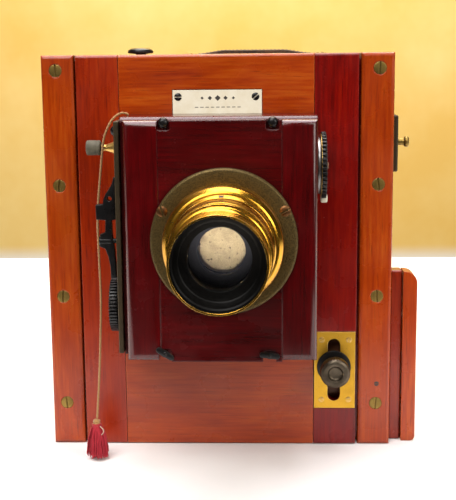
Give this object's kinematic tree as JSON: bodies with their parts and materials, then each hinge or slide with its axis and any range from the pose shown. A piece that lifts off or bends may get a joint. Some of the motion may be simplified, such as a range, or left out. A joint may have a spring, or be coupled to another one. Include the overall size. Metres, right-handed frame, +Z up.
{
  "type": "wooden plate camera",
  "caption": "Wooden plate camera: brass lens on a boxed roller-blind shutter, rising front panel, pleated bellows, and a hinged focusing screen on a rack-driven rear frame.",
  "frame": {"origin": "on the underside of the bed, on its centre line, 110 mm behind the panel's front face", "axes": "+X to the right of someone facing the lens, +Y from the lens towards the focusing screen, +Z up"},
  "size_m": [0.2588, 0.394, 0.2664],
  "materials": {
    "mahogany": "french polished, warm orange red",
    "mahogany_red": "french polished, darker red, upright grain",
    "maroon": "deep maroon polish, glossy",
    "inner_wood": "plain, matt",
    "brass": "lacquered",
    "gilt": "bright lacquered",
    "bronze": "granular, dulled",
    "steel": "brushed",
    "blackened": "blackened",
    "olive_plate": "old dull lacquer",
    "ivory": "ivory coloured, matt",
    "rubber": "aged, matt",
    "leather": "dark, worn",
    "bellows_cloth": "thin black bellows leather",
    "blind_cloth": "cream, speckled",
    "cord": "tan twisted cord",
    "silk": "crimson silk",
    "glass": "polished",
    "ground_glass": "ground, matt"
  },
  "bodies": {
    "front_box": {"left_wall": "mahogany", "right_wall": "mahogany", "top_board": "mahogany", "baffle_board": "inner_wood", "bed_board": "mahogany", "focus_rack": "brass", "guide_strip_left": "mahogany", "guide_strip_right": "mahogany", "guide_screw_left_1": "brass", "guide_screw_left_2": "brass", "guide_screw_left_3": "brass", "guide_screw_left_4": "brass", "guide_screw_right_1": "brass", "guide_screw_right_2": "brass", "guide_screw_right_3": "brass", "guide_screw_right_4": "brass", "clamp_bush": "brass", "side_catch_plate": "olive_plate", "side_block_batten": "mahogany_red", "side_block_cheek": "mahogany", "tripod_plate": "brass", "bellows": "bellows_cloth"},
    "panel": {"panel_board": "mahogany", "panel_cleat_left": "mahogany_red", "panel_cleat_right": "mahogany_red", "name_plate": "ivory", "slot_plate": "brass", "shutter_case": "maroon", "lens_board": "maroon", "mechanism_plate": "olive_plate", "hose_nipple": "brass", "hose_stub": "rubber", "lens_flange": "bronze", "lens_barrel": "gilt", "lens_hood": "gilt", "front_glass": "glass", "rear_glass": "glass", "shutter_blind": "blind_cloth", "shutter_cord": "cord", "cord_tassel": "silk"},
    "blind_roller": {"upper_roller": "inner_wood", "speed_disc": "blackened"},
    "take_up_roller": {"lower_roller": "inner_wood"},
    "winder": {"winder_wheel": "blackened"},
    "release": {"release_lever": "blackened"},
    "iris": {"iris_ring": "gilt"},
    "button_left": {"turn_button_left": "blackened"},
    "button_right": {"turn_button_right": "blackened"},
    "clamp": {"clamp_knob": "bronze", "clamp_washer": "blackened"},
    "side_catch": {"side_catch_knob": "steel"},
    "carriage": {"carriage": "inner_wood", "rear_frame": "mahogany", "handle": "leather", "screen_hinge": "brass"},
    "focus_shaft": {"focus_shaft": "brass"},
    "screen": {"screen_frame": "mahogany", "ground_glass": "ground_glass", "lock_stud": "brass"},
    "lock": {"back_lock": "brass"}
  },
  "joints": [
    {"name": "panel_rise", "type": "slide", "parent": "front_box", "child": "panel", "axis": [0, 0, 1], "range_m": [0, 0.016]},
    {"name": "blind_wind", "type": "hinge", "parent": "panel", "child": "blind_roller", "pos_m": [0, -0.134, 0.1897], "axis": [1, 0, 0], "range_deg": [0, 540]},
    {"name": "blind_take_up", "type": "hinge", "parent": "panel", "child": "take_up_roller", "pos_m": [0, -0.134, 0.1021], "axis": [1, 0, 0], "range_deg": [0, 540]},
    {"name": "winder_spin", "type": "hinge", "parent": "panel", "child": "winder", "pos_m": [-0.0647, -0.134, 0.1021], "axis": [1, 0, 0], "continuous": true},
    {"name": "release_press", "type": "hinge", "parent": "panel", "child": "release", "pos_m": [-0.066, -0.15, 0.1455], "axis": [-1, 0, 0], "range_deg": [0, 8], "stiffness_Nm_per_rad": 0.05, "springref_deg": -11.46},
    {"name": "iris_turn", "type": "hinge", "parent": "panel", "child": "iris", "pos_m": [0.0058, -0.193, 0.1472], "axis": [0, -1, 0], "range_deg": [0, 50]},
    {"name": "button_left_turn", "type": "hinge", "parent": "panel", "child": "button_left", "pos_m": [-0.031, -0.165, 0.0776], "axis": [0, -1, 0], "range_deg": [-60, 120]},
    {"name": "button_right_turn", "type": "hinge", "parent": "panel", "child": "button_right", "pos_m": [0.0331, -0.165, 0.0766], "axis": [0, -1, 0], "range_deg": [-85, 95]},
    {"name": "clamp_turn", "type": "hinge", "parent": "front_box", "child": "clamp", "pos_m": [0.0757, -0.123, 0.0537], "axis": [0, -1, 0], "range_deg": [0, 540]},
    {"name": "side_catch_press", "type": "slide", "parent": "front_box", "child": "side_catch", "axis": [-1, 0, 0], "range_m": [0, 0.003], "stiffness_N_per_m": 600, "springref_m": -0.001},
    {"name": "focus_slide", "type": "slide", "parent": "front_box", "child": "carriage", "axis": [0, 1, 0], "range_m": [-0.085, 0.04], "deforming": ["bellows"]},
    {"name": "focus_turn", "type": "hinge", "parent": "carriage", "child": "focus_shaft", "pos_m": [0, 0.0775, 0.0285], "axis": [1, 0, 0], "range_deg": [-385, 815]},
    {"name": "screen_swing", "type": "hinge", "parent": "carriage", "child": "screen", "pos_m": [0.1156, 0.0953, 0.147], "axis": [0, 0, -1], "range_deg": [0, 110]},
    {"name": "lock_turn", "type": "hinge", "parent": "carriage", "child": "lock", "pos_m": [-0.0706, 0.0775, 0.2645], "axis": [0, 0, 1], "range_deg": [-60, 30]}
  ],
  "couplings": [
    {"joint": "blind_take_up", "follows": "blind_wind", "ratio": 1},
    {"joint": "focus_turn", "follows": "focus_slide", "rad_per_m": -166.67}
  ]
}
